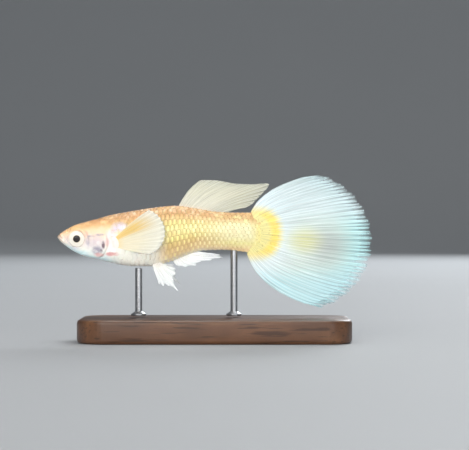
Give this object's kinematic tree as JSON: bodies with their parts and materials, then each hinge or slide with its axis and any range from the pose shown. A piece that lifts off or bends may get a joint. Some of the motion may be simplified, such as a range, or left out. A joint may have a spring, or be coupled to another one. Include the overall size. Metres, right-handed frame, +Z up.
{
  "type": "fancy guppy model",
  "caption": "Life-size male fancy guppy with a round fan tail and swept-back dorsal fin, held over a small plate by thin rods.",
  "frame": {"origin": "on the floor, under the middle of the whole fish from snout to tail rim", "axes": "+X from the snout to the tail fin, +Y to the fish's right side, +Z up"},
  "size_m": [0.0535, 0.022, 0.0286],
  "materials": {
    "skin": "moist pale orange skin with a pearly throat",
    "gill_cover": "pearly white over pink and violet",
    "eye": "silver-white iris round a black pupil, wet gloss",
    "scales": "gold scales with pearly centres and tan edges",
    "fin": "thin milky membrane with white rays",
    "tail_fin": "thin milky blue-white membrane, yellow at its root",
    "stand_wood": "oiled dark walnut, satin",
    "stand_rod": "fine brushed steel"
  },
  "bodies": {
    "root": {"head": "skin", "lower_jaw": "skin", "gill_cover_left": "gill_cover", "gill_cover_right": "gill_cover", "eye_left": "eye", "eye_right": "eye", "trunk": "scales", "tail_stalk": "scales", "dorsal_fin": "fin", "anal_fin": "fin", "caudal_fin": "tail_fin", "pelvic_fin_left": "fin", "pelvic_fin_right": "fin", "pectoral_fin_left": "fin", "pectoral_fin_right": "fin", "stand_base": "stand_wood", "stand_rod_front": "stand_rod", "stand_rod_rear": "stand_rod"}
  },
  "joints": []
}
